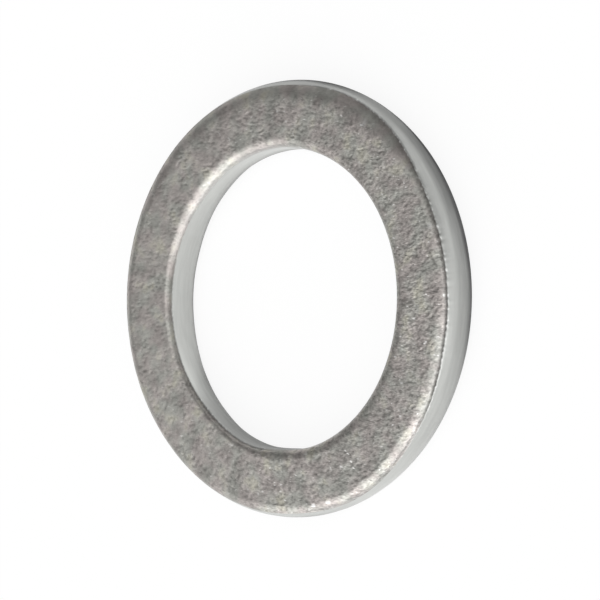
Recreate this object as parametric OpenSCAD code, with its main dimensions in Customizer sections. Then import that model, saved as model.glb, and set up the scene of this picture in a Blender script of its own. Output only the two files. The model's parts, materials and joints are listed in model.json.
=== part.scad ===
// Aluminium sealing washer: one flat ring, stamped and tumbled, that lies under the head of a
// screwed plug and is squeezed to seal its port.
// Millimetres. The ring lies on its lower face, with the bore along +Z and the origin at the
// centre of the lower face.

/* [Ring] */
// Diameter over the crest of the rim
outer_d = 20.4; // [18:0.1:30]
// Diameter of the bore, which clears an M14 thread
bore_d = 14.1; // [8:0.1:16]
// Thickness between the two flat faces
thickness = 2; // [1.6:0.1:3]

/* [Rim] */
// How far the crest of the rim stands out past the crisp line at its upper edge
rim_bulge = 0.26; // [0.05:0.01:0.4]
// How far the crest lies below the middle of the thickness
crest_drop = 0.1; // [0:0.05:0.3]
// Width, on the upper face, of the rolled edge next to the rim
rim_roll_w = 0.74; // [0.26:0.02:1.2]
// Depth of that rolled edge, down to the crisp line
rim_roll_h = 0.25; // [0.1:0.01:0.4]
// Radius of the rim's rounded lower edge
rim_rear_r = 0.4; // [0.1:0.05:0.6]

/* [Bore] */
// Width, on the upper face, of the rolled edge next to the bore
bore_roll_w = 0.4; // [0.34:0.01:0.9]
// Depth of that rolled edge, down to the bore's straight wall
bore_roll_h = 0.34; // [0.1:0.01:0.38]
// Radius of the bore's rounded lower edge
bore_rear_r = 0.3; // [0.1:0.05:0.8]

/* [Hidden] */
$fn = 180;

aluminium_grey = [0.62, 0.61, 0.59];

outer_r = outer_d / 2;
bore_r = bore_d / 2;

// The rim is one arc through its crest and the crisp line below the rolled edge
crest_z = thickness / 2 - crest_drop;
line_z = thickness - rim_roll_h;
crown_r = arc_radius(line_z - crest_z, rim_bulge);
crown = [outer_r - crown_r, crest_z];

// The rolled edges leave the upper face smoothly and end at a line on the rim or on the bore
line_r = outer_r - rim_bulge;
rim_roll_r = arc_radius(rim_roll_w, rim_roll_h);
rim_roll = [line_r - rim_roll_w, thickness - rim_roll_r];
rim_roll_end = 90 - arc_sweep(rim_roll_w, rim_roll_h);
bore_roll_r = arc_radius(bore_roll_w, bore_roll_h);
bore_roll = [bore_r + bore_roll_w, thickness - bore_roll_r];
bore_roll_end = 90 + arc_sweep(bore_roll_w, bore_roll_h);

// The rounded lower edge of the rim runs smoothly from the lower face into the rim's arc
rear_rise = crest_z - rim_rear_r;
rear_reach = sqrt(pow(crown_r - rim_rear_r, 2) - pow(rear_rise, 2));
rim_rear = [crown[0] + rear_reach, rim_rear_r];
rim_rear_end = atan2(-rear_rise, rear_reach);
bore_rear = [bore_r + bore_rear_r, bore_rear_r];

// Both flat faces reach at least this far out, and the waste at an edge lies within this distance
land_r = min(rim_roll[0], rim_rear[0]);
waste_reach = thickness;

// Radius of the arc that leaves a straight line and falls away by drop over a run along that line
function arc_radius(run, drop) = (run * run + drop * drop) / (2 * drop);

// Angle, in degrees, that the same arc turns through
function arc_sweep(run, drop) = 2 * atan2(drop, run);

// Point at a distance from the origin in a direction given in degrees
function polar(distance, angle) = distance * [cos(angle), sin(angle)];

// Waste outside an edge's arc: the wedge between two directions from its centre, less its disc
module edge_waste(centre, radius, from, to) {
    middle = (from + to) / 2;
    translate(centre)
        difference() {
            polygon([
                [0, 0],
                polar(waste_reach, from),
                polar(2 * waste_reach, middle),
                polar(waste_reach, to)
            ]);
            circle(radius);
        }
}

// Half section before its edges are shaped: flat faces, straight bore and arched rim
module blank() {
    intersection() {
        translate([bore_r, 0])
            square([outer_d, thickness]);
        union() {
            translate([bore_r, 0])
                square([land_r - bore_r, thickness]);
            translate(crown)
                circle(crown_r);
        }
    }
}

// Half section of the ring: radius across, height up
module section() {
    difference() {
        blank();
        edge_waste(rim_roll, rim_roll_r, rim_roll_end, 90);
        edge_waste(rim_rear, rim_rear_r, -90, rim_rear_end);
        edge_waste(bore_roll, bore_roll_r, 90, bore_roll_end);
        edge_waste(bore_rear, bore_rear_r, 180, 270);
    }
}

module sealing_washer() {
    color(aluminium_grey)
        rotate_extrude()
            section();
}

sealing_washer();
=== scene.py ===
"""Looks of the aluminium sealing washer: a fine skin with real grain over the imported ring."""

import json
import math
from collections import namedtuple

import bpy
import numpy as np
from mathutils import Matrix, Vector, noise


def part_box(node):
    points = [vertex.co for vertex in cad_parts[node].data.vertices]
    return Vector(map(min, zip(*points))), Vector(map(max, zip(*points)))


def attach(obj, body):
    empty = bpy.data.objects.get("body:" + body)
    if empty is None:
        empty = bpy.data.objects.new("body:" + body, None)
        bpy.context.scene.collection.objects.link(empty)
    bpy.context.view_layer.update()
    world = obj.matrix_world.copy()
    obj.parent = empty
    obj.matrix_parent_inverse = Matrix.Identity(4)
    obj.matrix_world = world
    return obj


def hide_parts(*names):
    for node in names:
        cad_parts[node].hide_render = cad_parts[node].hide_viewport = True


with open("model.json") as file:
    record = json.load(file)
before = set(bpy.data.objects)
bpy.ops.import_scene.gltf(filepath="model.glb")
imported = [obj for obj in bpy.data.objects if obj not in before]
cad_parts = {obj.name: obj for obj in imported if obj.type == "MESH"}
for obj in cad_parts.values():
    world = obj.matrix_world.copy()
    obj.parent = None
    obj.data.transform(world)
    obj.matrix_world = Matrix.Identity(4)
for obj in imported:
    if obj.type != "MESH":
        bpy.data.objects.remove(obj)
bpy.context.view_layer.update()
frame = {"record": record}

NODE = "sealing_washer"
BODY = "root"
SKIN = "washer_skin"

# Ring sizes in metres: the overall ones from the frame, the edges as in the part's own section
MM = 0.001
ring_low, ring_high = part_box(NODE)
mounts = {mount["name"]: mount for mount in frame["record"]["mounts"]}
OUTER_R = ring_high.x
THICKNESS = ring_high.z - ring_low.z
BORE_R = mounts["stud_bore"]["dims"]["r_mm"] * MM
RIM_BULGE = 0.26 * MM
CREST_DROP = 0.1 * MM
RIM_ROLL_W = 0.74 * MM
RIM_ROLL_H = 0.25 * MM
RIM_REAR_R = 0.4 * MM
BORE_ROLL_W = 0.4 * MM
BORE_ROLL_H = 0.34 * MM
BORE_REAR_R = 0.3 * MM

# How far the punch left the bore off centre, along X
BORE_OFF_CENTRE = -0.05 * MM

# Where stamping left an edge wider, deeper or further out: change in millimetres, eased between
# stops given in degrees around the ring
LINE_OUT = (
    (0, -0.05), (50, 0), (180, 0.03), (212, 0.25), (240, 0.16),
    (262, -0.01), (297, -0.09), (322, 0), (338, 0.07),
)
LINE_UP = (
    (0, 0), (70, 0.035), (110, 0.02), (145, -0.04), (165, -0.04), (183, 0.08),
    (208, -0.24), (250, 0.03), (302, 0.15), (328, -0.22), (345, -0.16),
)
RIM_WIDER = ((0, 0.1), (180, -0.34), (212, -0.32), (265, -0.1), (302, -0.34), (326, 0.22))
BORE_OUT = (
    (0, 0), (25, -0.05), (48, -0.14), (100, -0.14), (138, -0.165),
    (168, 0), (182, -0.085), (198, -0.005), (260, -0.04), (320, 0),
)
BORE_DEEPER = (
    (0, 0.02), (35, 0.1), (75, -0.06), (120, -0.08), (160, -0.05), (185, 0.02), (275, -0.12),
)
BORE_WIDER = (
    (0, 0.04), (40, 0.08), (90, -0.1), (125, -0.1), (160, -0.08), (185, 0.12), (222, 0.32),
)
BORE_BLUNTER = (
    (0, 0.05), (22, 0.3), (46, 0.32), (75, 0.08), (95, 0.08), (148, 0.5), (180, 0.05),
)

# The photograph's camera: the image is square, and sizes named so are in its pixels
IMAGE_PX = 600
SENSOR_MM = 36.0
FOCAL_PX = 2432.0
CAMERA_DISTANCE = 113.45 * MM
CLIP_START = 1 * MM
AXIS_TURN = math.radians(41.02)
AXIS_RISE = math.radians(0.85)
RING_CENTRE_PX = (-10.5, -1.7)

# How fine the skin is: segments around the ring, and rows along each stretch of the section
SEGMENTS = 1000
ROWS = {
    "top": 34,
    "rim_roll": 12,
    "roll_lip": 3,
    "rim_lip": 3,
    "rim_upper": 5,
    "rim_lower": 5,
    "rim_rear": 6,
    "bottom": 8,
    "bore_rear": 5,
    "bore": 4,
    "bore_lip": 3,
    "bore_roll": 11,
}
LIP_LENGTH = 0.1 * MM

# Stretches that end at a crisp line, those that lie below it, and those with single marks
AT_LINE = ("rim_roll", "roll_lip", "rim_lip", "bore_lip", "bore_roll")
BELOW_LINE = ("rim_lip", "bore_lip")
MARKED = ("top", "rim_roll", "roll_lip", "bore_roll")

# Material of each stretch, by its place among the skin's materials
FACE, RIM, BORE = range(3)
FINISH = {
    "top": FACE,
    "rim_roll": FACE,
    "roll_lip": FACE,
    "rim_lip": RIM,
    "rim_upper": RIM,
    "rim_lower": RIM,
    "rim_rear": RIM,
    "bottom": FACE,
    "bore_rear": BORE,
    "bore": BORE,
    "bore_lip": BORE,
    "bore_roll": FACE,
}

# Sizes of the section's edges at one angle around the ring, in metres: radius and height of the
# rim's crisp line, width of its rolled edge, then the bore's radius, the width and depth of its
# rolled edge, and the radius of its lower edge
Edges = namedtuple("Edges", "line_r line_z rim_w bore_r bore_w bore_h rear_r")


def arc_radius(run, drop):
    """Radius of the arc that leaves a straight line and falls away by drop over a run along it."""
    return (run * run + drop * drop) / (2 * drop)


def arc_sweep(run, drop):
    """Angle that the same arc turns through."""
    return 2 * math.atan2(drop, run)


def arc_rows(centre, radius, start, end, count):
    """Points and outward normals along an arc, without its last point."""
    angles = start + (end - start) * np.arange(count) / count
    normals = np.stack([np.cos(angles), np.sin(angles)], 1)
    return np.array(centre) + radius * normals, normals


def line_rows(start, end, normal, count):
    """Points and outward normals along a straight stretch, without its last point."""
    share = (np.arange(count) / count)[:, None]
    points = np.array(start) * (1 - share) + np.array(end) * share
    return points, np.tile(np.array(normal, float), (count, 1))


def eased(turn, stops):
    """Value at an angle around the ring, eased between stops of (degrees, value)."""
    degrees = math.degrees(turn)
    closed = (*stops, (stops[0][0] + 360, stops[0][1]))
    for (start, low), (end, high) in zip(closed, closed[1:]):
        if start <= degrees <= end:
            share = (degrees - start) / (end - start)
            return low + (high - low) * share * share * (3 - 2 * share)


def section_rows(edges):
    """Half section with the given edges: points (radius, height) and outward normals."""
    up = math.pi / 2
    line_r, line_z, rim_w, bore_r, bore_w, bore_h, rear_r = edges
    crest_z = THICKNESS / 2 - CREST_DROP
    rise = line_z - crest_z
    upper_r = arc_radius(rise, OUTER_R - line_r)
    upper = (OUTER_R - upper_r, crest_z)
    line_angle = math.asin(rise / upper_r)
    lip_angle = line_angle - LIP_LENGTH / upper_r
    roll_h = THICKNESS - line_z
    rim_roll_r = arc_radius(rim_w, roll_h)
    rim_roll = (line_r - rim_w, THICKNESS - rim_roll_r)
    rim_end = up - arc_sweep(rim_w, roll_h)
    roll_lip = rim_end + LIP_LENGTH / rim_roll_r

    crown_r = arc_radius(THICKNESS - RIM_ROLL_H - crest_z, RIM_BULGE)
    crown = (OUTER_R - crown_r, crest_z)
    rear_rise = crest_z - RIM_REAR_R
    rear_reach = math.sqrt((crown_r - RIM_REAR_R) ** 2 - rear_rise ** 2)
    rim_rear = (crown[0] + rear_reach, RIM_REAR_R)
    rear_angle = math.atan2(-rear_rise, rear_reach)

    bore_roll_r = arc_radius(bore_w, bore_h)
    bore_roll = (bore_r + bore_w, THICKNESS - bore_roll_r)
    bore_end = up + arc_sweep(bore_w, bore_h)
    bore_line = (bore_r, THICKNESS - bore_h)
    bore_lip = (bore_r, THICKNESS - bore_h - LIP_LENGTH)
    bore_rear = (bore_r + rear_r, rear_r)

    top_ends = ((bore_roll[0], THICKNESS), (rim_roll[0], THICKNESS))
    bottom_ends = ((rim_rear[0], 0), (bore_rear[0], 0))
    stretches = (
        line_rows(*top_ends, (0, 1), ROWS["top"]),
        arc_rows(rim_roll, rim_roll_r, up, roll_lip, ROWS["rim_roll"]),
        arc_rows(rim_roll, rim_roll_r, roll_lip, rim_end, ROWS["roll_lip"]),
        arc_rows(upper, upper_r, line_angle, lip_angle, ROWS["rim_lip"]),
        arc_rows(upper, upper_r, lip_angle, 0, ROWS["rim_upper"]),
        arc_rows(crown, crown_r, 0, rear_angle, ROWS["rim_lower"]),
        arc_rows(rim_rear, RIM_REAR_R, rear_angle, -up, ROWS["rim_rear"]),
        line_rows(*bottom_ends, (0, -1), ROWS["bottom"]),
        arc_rows(bore_rear, rear_r, -up, -2 * up, ROWS["bore_rear"]),
        line_rows((bore_r, rear_r), bore_lip, (-1, 0), ROWS["bore"]),
        line_rows(bore_lip, bore_line, (-1, 0), ROWS["bore_lip"]),
        arc_rows(bore_roll, bore_roll_r, bore_end, up, ROWS["bore_roll"]),
    )
    points, normals = zip(*stretches)
    return np.concatenate(points), np.concatenate(normals)


# Blender's noise lies around nothing: this brings it to 0 to 1
NOISE_MIDDLE = 0.5
NOISE_GAIN = 0.62

# Tumbled grain of the faces: longer along the sheet's rolling direction, with sharp small pits, in
# patches, and strongest at one angle around the ring
GRAIN_STRETCH = Vector((1.0, 0.45, 1.0))
GRAIN_SIZE = 0.1 * MM
GRAIN_DEPTH = 0.012 * MM
PIT_SIZES = (0.065 * MM, 0.11 * MM)
PIT_DEPTH = 0.42
PIT_FROM = 0.55
COARSE_SIZE = 0.45 * MM
COARSE_DEPTH = 0.015 * MM
WAVE_SIZE = 1.6 * MM
WAVE_DEPTH = 0.012 * MM
DENT_SIZE = 0.3 * MM
DENT_DEPTH = 0.04 * MM
DENT_FROM = 0.64
PATCH_SIZE = 0.9 * MM
PATCH_SWING = 0.8
GRAIN_MOST_AT = math.radians(262)
GRAIN_SWING = 0.4

# How clear the grain's finest marks are: on average, and how much more or less around the ring
FINE_MIDDLE = 0.6
FINE_SWING = 0.4

# Gentle waviness of the rim and the bore
SMOOTH_WAVE_SIZE = 0.9 * MM
SMOOTH_WAVE_DEPTH = 0.004 * MM

# Single marks on the upper face: two ends (x, y) and half width in millimetres, and how light, where
# less than nothing is dark
MARKS = (
    (2.56, -8.68, 1.56, -9.37, 0.08, -0.5),
    (3.31, -8.93, 3.31, -8.93, 0.16, 0.3),
    (-7.2, -2.88, -7.3, -2.75, 0.12, -0.5),
    (-7.82, -0.9, -7.7, -0.8, 0.12, -0.45),
    (-7.88, -3.62, -8.0, -3.4, 0.1, -0.45),
    (8.09, -5.03, 7.9, -5.03, 0.12, 0.3),
    (-9.46, -2.53, -9.44, -2.6, 0.11, 0.8),
    (-9.26, -3.36, -9.22, -3.5, 0.1, 0.7),
    (-6.2, -4.6, -3.3, -7.0, 1.1, -0.14),
)
MARK_DEPTH = 0.04 * MM

# Least square of a mark's length, so that a round mark isn't divided by nothing
MARK_LEAST_SQUARE = 1e-12

# The crisp lines below the rolled edges: ragged grooves with burrs, each with its strength given at
# stops in degrees around the ring; a groove is darkened with painted shade over a reach above the line,
# in millimetres at such stops, and a short one below it
RAGGED_SIZE = 0.16 * MM
RAGGED_DEPTH = 0.06 * MM
GROOVE_DEPTH = 0.04 * MM
GROOVE_SHADE_BELOW = 0.04 * MM
BEAD_SIZE = 0.13 * MM
BEAD_LEAST = 0.65
BURR_HEIGHT = 0.012 * MM
BURR_SIZE = 0.12 * MM
BURR_FROM = 0.58
BURR_REACH = 0.08 * MM
BURR_SHARE = 0.75
RIM_LINE = (
    (0, 0.1), (200, 0.05), (218, 0.1), (232, 0.4), (246, 0.9),
    (290, 1), (305, 1), (322, 0.85), (340, 0.65),
)
BORE_LINE = ((0, 0), (62, 0), (88, 0.6), (110, 0.65), (140, 0.9), (168, 0.75), (190, 0.1))
RIM_GROOVE_SHADE_REACH = (
    (0, 0.3), (225, 0.15), (272, 0.16), (293, 0.25), (305, 0.28), (322, 0.46), (340, 0.46),
)
BORE_GROOVE_SHADE_REACH = ((0, 0.12), (76, 0.3), (92, 0.32), (104, 0.22), (145, 0.22), (190, 0.2))

# Where the rim is dull, as the sheet broke off there, and where it carries painted shade towards its
# foot and
# around the side away from the light: its share by height in millimetres, and how strong that is at
# stops in degrees around the ring
RIM_DULL_SHADE_HEIGHTS = (0.45, 0.78, 1.2, 1.45, 2)
RIM_DULL_SHADE_SHARES = (1.08, 0.7, 0.61, 0.3, 0.2)
RIM_BROKEN_AND_SHADED = (
    (0, 1.5), (90, 0.5), (150, 0.45), (174, 0.9), (190, 0.85), (200, 0.45), (211, 0), (224, 0.2),
    (240, 0.5), (270, 0.9), (306, 1.22), (330, 1), (350, 1.5),
)

# Where the bore is dull, as the sheet broke off there, and carries painted shade on its side away from
# the light: half so at one height, fading upwards over a length, both in millimetres at stops in
# degrees around the ring, where a height below the foot leaves the faint end of the fade
HALF_DULL_SHADE = 0.5
BORE_BROKEN_AND_SHADED = ((0, 0.36), (40, 0), (60, -0.5), (100, -0.5), (128, 0.82), (152, 1.9), (230, 2.04))
BORE_BROKEN_AND_SHADED_BLUR = (
    (0, 1.58), (40, 1.58), (60, 6), (100, 6), (125, 1.58), (150, 6), (180, 6), (330, 1.58),
)

# Painted shade at the bore's foot: wholly dull up to one height and light above another, in millimetres
BORE_FOOT_SHADE = 0.1
BORE_FOOT_SHADE_TO = ((0, 1.1), (40, 1.1), (75, 0.5), (330, 0.5))

# Painted highlight on the lit side of the rolled edges, in small beads and evenly, at stops in degrees
# around the ring
RIM_BEADED_HIGHLIGHT = ((0, 0), (185, 0), (205, 0.8), (240, 0.8), (265, 0.4), (290, 0))
RIM_EVEN_HIGHLIGHT = ((0, 0), (185, 0), (205, 0.25), (225, 0.1), (265, 0.12), (290, 0))
BORE_BEADED_HIGHLIGHT = ((0, 0), (20, 0.1), (38, 0.5), (52, 0.3), (68, 0.05), (85, 0), (330, 0))
BORE_EVEN_HIGHLIGHT = ((0, 0.3), (20, 0.42), (48, 0.42), (64, 0.1), (82, 0), (330, 0))
HIGHLIGHT_REACH = 0.3 * MM
HIGHLIGHT_BEAD_SIZE = 0.14 * MM
HIGHLIGHT_BEAD_FROM = 0.5

# Where the rolled edges lost their grain, at stops in degrees around the ring
RIM_SMOOTHED = ((0, 0.6), (80, 0.1), (280, 0.15), (315, 0.75), (345, 0.75))
BORE_SMOOTHED = ((0, 0.1), (180, 0.1))
SMOOTHED_REACH = 0.7 * MM

# What line_look needs of each edge
RIM_STOPS = (RIM_LINE, RIM_GROOVE_SHADE_REACH, RIM_BEADED_HIGHLIGHT, RIM_EVEN_HIGHLIGHT, RIM_SMOOTHED)
BORE_STOPS = (BORE_LINE, BORE_GROOVE_SHADE_REACH, BORE_BEADED_HIGHLIGHT, BORE_EVEN_HIGHLIGHT, BORE_SMOOTHED)

# Shifts that keep one noise from repeating another
PIT_SHIFT = Vector((0, 0, 0.1))
DENT_SHIFT = Vector((0, 0, 0.2))
BEAD_SHIFT = Vector((0, 0, 0.3))
BURR_SHIFT = Vector((0, 0, 0.4))
RAGGED_SHIFT = Vector((0, 0, 0.5))
COARSE_SHIFT = Vector((0, 0, 0.6))
PATCH_SHIFT = Vector((0, 0, 0.7))
HIGHLIGHT_BEAD_SHIFT = Vector((0, 0, 0.8))


def unit_noise(point, size):
    """Smooth noise from 0 to 1 at a point, with features of about the given size."""
    return min(max(NOISE_MIDDLE + NOISE_GAIN * noise.noise(point / size), 0.0), 1.0)


def grain_strength(place, turn):
    """How strong the grain is at a place: it comes in patches, and is coarser on one side."""
    patch = (unit_noise(place + PATCH_SHIFT, PATCH_SIZE) - NOISE_MIDDLE) * PATCH_SWING
    return 1 + patch + GRAIN_SWING * math.cos(turn - GRAIN_MOST_AT)


def grain_depth(place, turn):
    """How deep the grain lies below the ring's true surface, and how far into its pits that is."""
    stretched = place * GRAIN_STRETCH
    strength = grain_strength(place, turn)
    depth = unit_noise(place, WAVE_SIZE) * WAVE_DEPTH
    depth += max(unit_noise(place + DENT_SHIFT, DENT_SIZE) - DENT_FROM, 0) * DENT_DEPTH
    depth += strength * unit_noise(stretched, GRAIN_SIZE) * GRAIN_DEPTH
    depth += strength * unit_noise(stretched + COARSE_SHIFT, COARSE_SIZE) * COARSE_DEPTH
    sunk = 0.0
    for size in PIT_SIZES:
        excess = max(unit_noise(stretched + PIT_SHIFT, size) - PIT_FROM, 0)
        depth += strength * excess * PIT_DEPTH * size
        sunk += strength * excess
    return depth, min(sunk / (1 - PIT_FROM), 1.0)


def smooth_depth(place):
    """The gentle waviness of the rim and the bore."""
    return unit_noise(place, SMOOTH_WAVE_SIZE) * SMOOTH_WAVE_DEPTH


def rim_dull_shade(turn, height):
    """1 where the rim takes its dull colour, which also stands for painted shade, 0 where it is
    burnished.
    """
    share = np.interp(height / MM, RIM_DULL_SHADE_HEIGHTS, RIM_DULL_SHADE_SHARES)
    return min(eased(turn, RIM_BROKEN_AND_SHADED) * share, 1.0)


def bore_dull_shade(turn, height):
    """1 where the bore takes its dull colour, which also stands for painted shade at its foot and away
    from the light, 0 where it is burnished.
    """
    light_from = eased(turn, BORE_FOOT_SHADE_TO)
    # Painted shade at the foot
    foot_shade = (light_from - height / MM) / (light_from - BORE_FOOT_SHADE)
    broken_and_shaded = HALF_DULL_SHADE + (eased(turn, BORE_BROKEN_AND_SHADED) - height / MM) / eased(turn, BORE_BROKEN_AND_SHADED_BLUR)
    return min(max(foot_shade, broken_and_shaded, 0.0), 1.0)


def spots(place, size, least):
    """Scattered spots: 0 over most of the surface, rising towards 1 where noise passes least."""
    return max(unit_noise(place, size) - least, 0) / (1 - least)


def near(gap, reach):
    """1 at a line, falling to 0 at the given reach from it."""
    return max(1 - (gap / reach) ** 2, 0.0)


def mark_light(place):
    """How light or dark a single mark makes this place on the upper face."""
    light = 0.0
    for start_x, start_y, end_x, end_y, half_width, level in MARKS:
        start = Vector((start_x, start_y, 0)) * MM
        along = Vector((end_x, end_y, 0)) * MM - start
        from_start = Vector((place.x, place.y, 0)) - start
        share = from_start.dot(along) / max(along.length_squared, MARK_LEAST_SQUARE)
        share = min(max(share, 0.0), 1.0)
        light += level * near((from_start - along * share).length, half_width * MM)
    return light


def on_bore(name):
    """Whether a stretch of the section belongs to the bore."""
    return name.startswith("bore")


def line_look(name, gap, turn, place):
    """Near a crisp line: how dark its groove's painted shade, how light its burr, how much painted
    highlight its roll carries and how smooth that roll is.
    """
    line, groove_shade_and_marks, painted_highlight, even_highlight, smoothed = BORE_STOPS if on_bore(name) else RIM_STOPS
    strength = eased(turn, line)
    bead = BEAD_LEAST + (1 - BEAD_LEAST) * unit_noise(place + BEAD_SHIFT, BEAD_SIZE)
    if name in BELOW_LINE:
        burr = strength * spots(place + BURR_SHIFT, BURR_SIZE, BURR_FROM) * BURR_SHARE
        return strength * bead * near(gap, GROOVE_SHADE_BELOW), burr * (gap < BURR_REACH), 0.0, 0.0
    # Painted highlight on the lit side of the rolled edge, in beads and evenly
    highlight = eased(turn, painted_highlight) * spots(place + HIGHLIGHT_BEAD_SHIFT, HIGHLIGHT_BEAD_SIZE, HIGHLIGHT_BEAD_FROM)
    highlight = min(highlight + eased(turn, even_highlight), 1.0) * near(gap, HIGHLIGHT_REACH)
    # Painted shade along the line, over a real shallow groove, widest where the roll faces away from
    # the light
    dark = strength * bead * near(gap, eased(turn, groove_shade_and_marks) * MM)
    smooth = eased(turn, smoothed) * near(gap, SMOOTHED_REACH)
    return dark, 0.0, highlight, smooth


def edges_at(turn):
    """The section's edges at an angle around the ring, as stamping left them."""
    across = Vector((math.cos(turn), math.sin(turn), 0))
    ragged = unit_noise(across * OUTER_R + RAGGED_SHIFT, RAGGED_SIZE) - NOISE_MIDDLE
    ragged *= RAGGED_DEPTH
    return Edges(
        line_r=OUTER_R - RIM_BULGE + eased(turn, LINE_OUT) * MM,
        line_z=THICKNESS - RIM_ROLL_H + eased(turn, LINE_UP) * MM + ragged * eased(turn, RIM_LINE),
        rim_w=RIM_ROLL_W + eased(turn, RIM_WIDER) * MM,
        bore_r=BORE_R + BORE_OFF_CENTRE * math.cos(turn) + eased(turn, BORE_OUT) * MM,
        bore_w=BORE_ROLL_W + eased(turn, BORE_WIDER) * MM,
        bore_h=BORE_ROLL_H + eased(turn, BORE_DEEPER) * MM + ragged * eased(turn, BORE_LINE),
        rear_r=BORE_REAR_R + eased(turn, BORE_BLUNTER) * MM,
    )


def skin_point(name, turn, edges, point, normal):
    """A point of the skin, sunk below the true surface by its grain, and the looks that it carries."""
    radius, height = point
    across = Vector((math.cos(turn), math.sin(turn), 0))
    place = across * radius + Vector((0, 0, height))
    outward = across * normal[0] + Vector((0, 0, normal[1]))
    depth, sunk = smooth_depth(place), 0.0
    if FINISH[name] == FACE:
        depth, sunk = grain_depth(place, turn)
    dark, bright, highlight_share, smooth = 0.0, 0.0, 0.0, 0.0
    if name in AT_LINE:
        line = (edges.line_r, edges.line_z)
        if on_bore(name):
            line = (edges.bore_r, THICKNESS - edges.bore_h)
        gap = math.hypot(radius - line[0], height - line[1])
        dark, bright, highlight_share, smooth = line_look(name, gap, turn, place)
        depth = depth * (1 - smooth) + dark * GROOVE_DEPTH - bright * BURR_HEIGHT
    if name in MARKED:
        mark = mark_light(place)
        dark, bright = max(dark, -mark), max(bright, mark)
        depth += max(-mark, 0) * MARK_DEPTH
    dull_shade_of = bore_dull_shade if FINISH[name] == BORE else rim_dull_shade
    looks = {
        # Painted shade in the grain's pits: 1 on the flat, less where a place lies in a pit
        "pit_shade_level": 1 - sunk * (1 - smooth),
        # Painted shade of the crisp lines' grooves, together with the real dark single marks
        "groove_shade_and_marks": dark,
        "burr": bright,
        # Dull fracture zone, together with painted shade in the same colour
        "dull_and_shade": dull_shade_of(turn, height),
        # Painted highlight near the rolled edges' lines
        "painted_highlight": highlight_share,
        "fine": (1 - smooth) * (FINE_MIDDLE + FINE_SWING * math.cos(turn - GRAIN_MOST_AT)),
    }
    return place - outward * depth, looks


def row_names():
    """Name of the stretch that each row of the section lies in."""
    names = []
    for name, count in ROWS.items():
        names += [name] * count
    return names


def skin_faces(rows):
    """Four-sided faces between neighbouring points, closed around the ring and around its section."""
    faces = []
    for seg in range(SEGMENTS):
        here = seg * rows
        ahead = (seg + 1) % SEGMENTS * rows
        for row in range(rows):
            below = (row + 1) % rows
            faces.append((here + row, here + below, ahead + below, ahead + row))
    return faces


def ring_skin():
    """The ring as one fine closed mesh, which carries its looks at its points."""
    names = row_names()
    verts, looks = [], []
    for seg in range(SEGMENTS):
        turn = 2 * math.pi * seg / SEGMENTS
        edges = edges_at(turn)
        points, normals = section_rows(edges)
        for name, point, normal in zip(names, points, normals):
            vert, look = skin_point(name, turn, edges, point, normal)
            verts.append(vert)
            looks.append(look)

    mesh = bpy.data.meshes.new(SKIN)
    mesh.from_pydata(verts, [], skin_faces(len(names)))
    mesh.polygons.foreach_set("use_smooth", [True] * len(mesh.polygons))
    mesh.polygons.foreach_set("material_index", [FINISH[name] for name in names] * SEGMENTS)
    for name in looks[0]:
        carried = mesh.attributes.new(name, "FLOAT", "POINT")
        carried.data.foreach_set("value", [look[name] for look in looks])
    mesh.update()
    piece = bpy.data.objects.new(SKIN, mesh)
    bpy.context.scene.collection.objects.link(piece)
    return piece


def new_material(name):
    """A material with its node tree and its shader, without the shader's own clear gloss."""
    material = bpy.data.materials.new(name)
    material.use_nodes = True
    shader = material.node_tree.nodes["Principled BSDF"]
    shader.inputs["Specular IOR Level"].default_value = 0.0
    return material, material.node_tree, shader


def place_node(tree):
    """Texture coordinate that stays with the piece, in metres."""
    return tree.nodes.new("ShaderNodeTexCoord").outputs["Object"]


def stretch_node(tree, place, stretch):
    """The same place, scaled by a vector."""
    node = tree.nodes.new("ShaderNodeVectorMath")
    node.operation = "MULTIPLY"
    node.inputs[1].default_value = stretch
    tree.links.new(place, node.inputs[0])
    return node.outputs[0]


def noise_node(tree, place, size, detail):
    """Noise texture with features of about the given size."""
    node = tree.nodes.new("ShaderNodeTexNoise")
    node.inputs["Scale"].default_value = 1 / size
    node.inputs["Detail"].default_value = detail
    tree.links.new(place, node.inputs["Vector"])
    return node.outputs["Fac"]


def attribute_node(tree, name):
    """A value that the mesh carries at its points."""
    node = tree.nodes.new("ShaderNodeAttribute")
    node.attribute_name = name
    return node.outputs["Fac"]


def math_node(tree, operation, first, second, clamp=False):
    """Arithmetic on two sockets or numbers."""
    node = tree.nodes.new("ShaderNodeMath")
    node.operation = operation
    node.use_clamp = clamp
    for socket, value in zip(node.inputs, (first, second)):
        if isinstance(value, (int, float)):
            socket.default_value = value
        else:
            tree.links.new(value, socket)
    return node.outputs[0]


def ramp_node(tree, value, stops):
    """Colour ramp with the given (position, colour) stops."""
    node = tree.nodes.new("ShaderNodeValToRGB")
    elements = node.color_ramp.elements
    while len(elements) < len(stops):
        elements.new(1.0)
    for element, (position, colour) in zip(elements, stops):
        element.position = position
        element.color = colour
    tree.links.new(value, node.inputs["Fac"])
    return node.outputs["Color"]


def mix_node(tree, blend, share, first, second):
    """Mix of two colours, where the share is a socket or a number."""
    node = tree.nodes.new("ShaderNodeMix")
    node.data_type = "RGBA"
    node.blend_type = blend
    if isinstance(share, (int, float)):
        node.inputs["Factor"].default_value = share
    else:
        tree.links.new(share, node.inputs["Factor"])
    colour_sockets = [socket for socket in node.inputs if socket.type == "RGBA"]
    for socket, value in zip(colour_sockets, (first, second)):
        if isinstance(value, tuple):
            socket.default_value = value
        else:
            tree.links.new(value, socket)
    return [socket for socket in node.outputs if socket.type == "RGBA"][0]


def bump_node(tree, height, distance, strength):
    """Bump of the given real depth, with its strength from a socket."""
    node = tree.nodes.new("ShaderNodeBump")
    node.inputs["Distance"].default_value = distance
    tree.links.new(strength, node.inputs["Strength"])
    tree.links.new(height, node.inputs["Height"])
    return node.outputs["Normal"]


def grey(level):
    """Neutral colour of a level."""
    return (level, level, level, 1)


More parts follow.
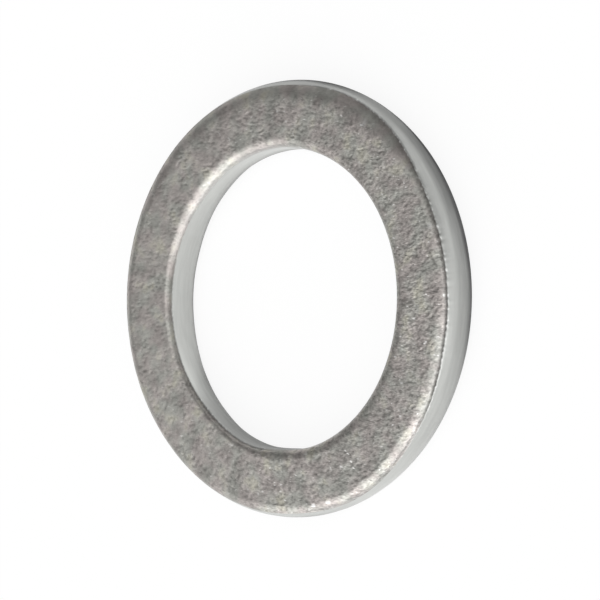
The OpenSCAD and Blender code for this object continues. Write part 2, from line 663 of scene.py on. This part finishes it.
# Noise detail of the soft textures, and a mix that takes its second colour wholly
SOFT_DETAIL = 1
WHOLLY = 1.0

# The face: tints and shades at positions along each texture's range
FACE_ROUGHNESS = 0.4
TINT_SIZE = 1.0 * MM
FACE_COOL = (0.442, 0.44, 0.409, 1)
FACE_PLAIN = (0.453, 0.433, 0.408, 1)
FACE_WARM = (0.466, 0.43, 0.41, 1)
FACE_YELLOW = (0.454, 0.439, 0.378, 1)
TINTS = ((0.38, FACE_COOL), (0.5, FACE_PLAIN), (0.62, FACE_WARM))
BLOTCH_SIZE = 0.9 * MM
BLOTCH_DETAIL = 2
YELLOW_SHARES = ((0.56, grey(0)), (0.72, grey(1)))
BLOTCH_SHADES = ((0.35, grey(0.83)), (0.65, grey(1.17)))
# Painted shade in the grain's pits, by the skin's pit shade level
PIT_SHADE_LEVELS = ((0.4, grey(0.75)), (1.0, grey(1.04)))
SPECK_SIZE = 0.06 * MM
SPECK_SHADES = ((0.35, grey(0.85)), (0.65, grey(1.15)))
SPECK_BUMP = 0.6
SPECK_DEPTH = 0.02 * MM
# Painted glints: near-white spots in the face's colour, standing in for light glinting off small facets
GLINT_AND_PIT_SHADE_SIZE = 0.15 * MM
GLINT_SHARES = ((0.68, grey(0)), (0.76, grey(1)))
GLINT_COLOUR = (0.86, 0.85, 0.83, 1)
# Painted pit shade: dark specks in the face's colour
PIT_SHADE_SHARES = ((0.24, grey(1)), (0.32, grey(0)))
PIT_SHADE_COLOUR = (0.2, 0.19, 0.18, 1)
# Painted highlight on the rolled edges
PAINTED_HIGHLIGHT_COLOUR = (0.8, 0.795, 0.78, 1)
# Painted shade in the grooves, and the colour of the dark single marks
GROOVE_SHADE_AND_MARK_COLOUR = (0.05, 0.048, 0.044, 1)
BURR_COLOUR = (0.93, 0.93, 0.92, 1)


def marked_colour(tree, colour):
    """The colour, darkened with painted shade in the grooves of the crisp lines and by dark marks, and
    lightened on their burrs.
    """
    dark = mix_node(tree, "MIX", attribute_node(tree, "groove_shade_and_marks"), colour, GROOVE_SHADE_AND_MARK_COLOUR)
    return mix_node(tree, "MIX", attribute_node(tree, "burr"), dark, BURR_COLOUR)


def face_material():
    """Tumbled aluminium: warm grey and matt, with painted shade in its pits, painted glints, and cooler
    and warmer patches.
    """
    material, tree, shader = new_material("aluminium_grain")
    shader.inputs["Roughness"].default_value = FACE_ROUGHNESS
    place = place_node(tree)
    stretched = stretch_node(tree, place, GRAIN_STRETCH)
    fine = attribute_node(tree, "fine")

    tint = ramp_node(tree, noise_node(tree, place, TINT_SIZE, SOFT_DETAIL), TINTS)
    blotches = noise_node(tree, place, BLOTCH_SIZE, BLOTCH_DETAIL)
    tint = mix_node(tree, "MIX", ramp_node(tree, blotches, YELLOW_SHARES), tint, FACE_YELLOW)
    tint = mix_node(tree, "MULTIPLY", WHOLLY, tint, ramp_node(tree, blotches, BLOTCH_SHADES))
    # Painted shade in the pits
    pit_shade = ramp_node(tree, attribute_node(tree, "pit_shade_level"), PIT_SHADE_LEVELS)
    colour = mix_node(tree, "MULTIPLY", WHOLLY, tint, pit_shade)
    specks = noise_node(tree, stretched, SPECK_SIZE, SOFT_DETAIL)
    colour = mix_node(tree, "MULTIPLY", fine, colour, ramp_node(tree, specks, SPECK_SHADES))
    # Painted glints, as near-white spots in the colour
    glint_and_pit_noise = noise_node(tree, stretched, GLINT_AND_PIT_SHADE_SIZE, SOFT_DETAIL)
    painted_glint = math_node(tree, "MULTIPLY", ramp_node(tree, glint_and_pit_noise, GLINT_SHARES), fine)
    colour = mix_node(tree, "MIX", painted_glint, colour, GLINT_COLOUR)
    # Painted pit shade, as dark specks
    painted_pit_shade = math_node(tree, "MULTIPLY", ramp_node(tree, glint_and_pit_noise, PIT_SHADE_SHARES), fine)
    colour = mix_node(tree, "MIX", painted_pit_shade, colour, PIT_SHADE_COLOUR)
    # Painted highlight on the rolled edges
    colour = mix_node(tree, "MIX", attribute_node(tree, "painted_highlight"), colour, PAINTED_HIGHLIGHT_COLOUR)
    tree.links.new(marked_colour(tree, colour), shader.inputs["Base Color"])

    bare = math_node(tree, "SUBTRACT", 1.0, attribute_node(tree, "groove_shade_and_marks"))
    tree.links.new(bare, shader.inputs["Metallic"])
    bump_strength = math_node(tree, "MULTIPLY", fine, SPECK_BUMP)
    tree.links.new(bump_node(tree, specks, SPECK_DEPTH, bump_strength), shader.inputs["Normal"])
    return material


# The rim and the bore: light colours, and dull colours that also carry painted shade, each with that of
# its streaks
CUT_LIGHT = (0.639, 0.648, 0.625, 1)
CUT_STREAK = (0.607, 0.616, 0.594, 1)
RIM_DULL_SHADE = (0.115, 0.115, 0.115, 1)
RIM_DULL_SHADE_STREAK = (0.14, 0.14, 0.139, 1)
BORE_DULL_SHADE = (0.17, 0.17, 0.168, 1)
BORE_DULL_SHADE_STREAK = (0.2, 0.2, 0.198, 1)
RIM_ROUGHNESS = 0.3
BORE_ROUGHNESS = 0.32
STREAK_STRETCH = Vector((0.12, 0.12, 1.0))
STREAK_SIZE = 0.16 * MM
STREAK_DETAIL = 3
STREAK_FROM = 0.4
STREAK_TO = 0.6


def streak_colour(tree, place, first, second):
    """Colour that changes in fine streaks along the ring's edge."""
    stretched = stretch_node(tree, place, STREAK_STRETCH)
    streaks = noise_node(tree, stretched, STREAK_SIZE, STREAK_DETAIL)
    return ramp_node(tree, streaks, ((STREAK_FROM, first), (STREAK_TO, second)))


def cut_material(name, dull_and_shade, dull_and_shade_streak, roughness):
    """A sheared edge of the sheet: burnished and light above, dull where it broke off below, with
    painted shade in that dull colour towards its foot and around the side away from the light.
    """
    material, tree, shader = new_material(name)
    shader.inputs["Roughness"].default_value = roughness
    place = place_node(tree)
    light = streak_colour(tree, place, CUT_STREAK, CUT_LIGHT)
    broken_and_shaded = streak_colour(tree, place, dull_and_shade, dull_and_shade_streak)
    # Dull where the sheet broke off, and painted shade in the same colour
    share = attribute_node(tree, "dull_and_shade")
    colour = mix_node(tree, "MIX", share, light, broken_and_shaded)
    matt = math_node(tree, "MAXIMUM", share, attribute_node(tree, "groove_shade_and_marks"))
    tree.links.new(math_node(tree, "SUBTRACT", 1.0, matt), shader.inputs["Metallic"])
    tree.links.new(marked_colour(tree, colour), shader.inputs["Base Color"])
    return material


FLOOR_REACH = 2.0
FLOOR_COLOUR = (0.92, 0.92, 0.92, 1)
FLOOR_ROUGHNESS = 0.9
FLOOR_WHITENESS = 0.9


def add_floor():
    """A wide pale floor under the ring, whiter to the eye and in reflections."""
    bpy.ops.mesh.primitive_plane_add(size=FLOOR_REACH, location=(0, 0, 0))
    floor = bpy.context.object
    floor.name = "floor"
    material, tree, shader = new_material("floor_white")
    shader.inputs["Base Color"].default_value = FLOOR_COLOUR
    shader.inputs["Roughness"].default_value = FLOOR_ROUGHNESS
    path = tree.nodes.new("ShaderNodeLightPath").outputs
    seen = math_node(tree, "ADD", path["Is Camera Ray"], path["Is Glossy Ray"])
    seen = math_node(tree, "ADD", seen, path["Is Transmission Ray"], clamp=True)
    share = math_node(tree, "MULTIPLY", seen, FLOOR_WHITENESS)
    white = tree.nodes.new("ShaderNodeEmission")
    blend = tree.nodes.new("ShaderNodeMixShader")
    tree.links.new(share, blend.inputs["Fac"])
    tree.links.new(shader.outputs["BSDF"], blend.inputs[1])
    tree.links.new(white.outputs["Emission"], blend.inputs[2])
    tree.links.new(blend.outputs["Shader"], tree.nodes["Material Output"].inputs["Surface"])
    floor.data.materials.append(material)


# Soft light from one side and above: brightest towards LIGHT_FROM, fading to the other side, with
# a wide lamp in its midst and a pale backdrop low all round
LIGHT_FROM = Vector((-0.82, -0.35, 0.45))
WORLD_DARK = 0.3
WORLD_LIGHT = 1.95
DARK_BELOW = -0.12
LIGHT_ABOVE = 0.96
LAMP_FROM = Vector((-0.86, 0.12, 0.5))
LAMP_EDGE = 0.75
LAMP_LIGHT = 0.6
UP = Vector((0, 0, 1))
BACKDROP_LIGHT = 0.75
BACKDROP_TO = 0.05
BACKDROP_FADED = 0.35


def light_fade(tree, direction, towards, start, end):
    """Light that changes from start to end, each a (share of the way towards, level)."""
    share = tree.nodes.new("ShaderNodeVectorMath")
    share.operation = "DOT_PRODUCT"
    share.inputs[1].default_value = towards
    tree.links.new(direction, share.inputs[0])
    fade = tree.nodes.new("ShaderNodeMapRange")
    fade.inputs["From Min"].default_value = start[0]
    fade.inputs["From Max"].default_value = end[0]
    fade.inputs["To Min"].default_value = start[1]
    fade.inputs["To Max"].default_value = end[1]
    tree.links.new(share.outputs["Value"], fade.inputs["Value"])
    return fade.outputs["Result"]


def add_light():
    """Plain soft studio light: a world that fades from one side of the ring to the other."""
    world = bpy.data.worlds.new("studio")
    world.use_nodes = True
    tree = world.node_tree
    direction = tree.nodes.new("ShaderNodeTexCoord").outputs["Generated"]
    side = light_fade(tree, direction, LIGHT_FROM, (DARK_BELOW, WORLD_DARK), (LIGHT_ABOVE, WORLD_LIGHT))
    lamp = light_fade(tree, direction, LAMP_FROM.normalized(), (LAMP_EDGE, 0), (1, LAMP_LIGHT))
    backdrop = light_fade(tree, direction, UP, (BACKDROP_TO, BACKDROP_LIGHT), (BACKDROP_FADED, 0))
    level = math_node(tree, "MAXIMUM", math_node(tree, "ADD", side, lamp), backdrop)
    tree.links.new(level, tree.nodes["Background"].inputs["Color"])
    bpy.context.scene.world = world


def add_camera():
    """The camera of the photograph, rolled on its side: it looks down on the lying ring."""
    lens = bpy.data.cameras.new("camera")
    lens.sensor_width = SENSOR_MM
    lens.lens = FOCAL_PX * SENSOR_MM / IMAGE_PX
    lens.clip_start = CLIP_START
    camera = bpy.data.objects.new("camera", lens)
    bpy.context.scene.collection.objects.link(camera)
    bpy.context.scene.camera = camera

    sine = math.cos(AXIS_TURN) * math.cos(AXIS_RISE)
    cosine = math.sqrt(1 - sine * sine)
    roll = math.atan2(math.sin(AXIS_TURN) * math.cos(AXIS_RISE), math.sin(AXIS_RISE))
    forward = Vector((0, cosine, -sine))
    level = Vector((1, 0, 0))
    sink = Vector((0, -sine, -cosine))
    right = level * math.cos(roll) + sink * math.sin(roll)
    down = sink * math.cos(roll) - level * math.sin(roll)

    px = CAMERA_DISTANCE / FOCAL_PX
    to_ring = right * RING_CENTRE_PX[0] * px + down * RING_CENTRE_PX[1] * px + forward * CAMERA_DISTANCE
    place = Vector((0, 0, THICKNESS / 2)) - to_ring
    axes = Matrix((right, -down, -forward)).transposed()
    camera.matrix_world = Matrix.Translation(place) @ axes.to_4x4()


skin = ring_skin()
skin.data.materials.append(face_material())
skin.data.materials.append(cut_material("aluminium_rim", RIM_DULL_SHADE, RIM_DULL_SHADE_STREAK, RIM_ROUGHNESS))
skin.data.materials.append(cut_material("aluminium_bore", BORE_DULL_SHADE, BORE_DULL_SHADE_STREAK, BORE_ROUGHNESS))
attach(skin, BODY)
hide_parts(NODE)

add_floor()
add_light()
add_camera()
bpy.context.scene.view_settings.view_transform = "Standard"
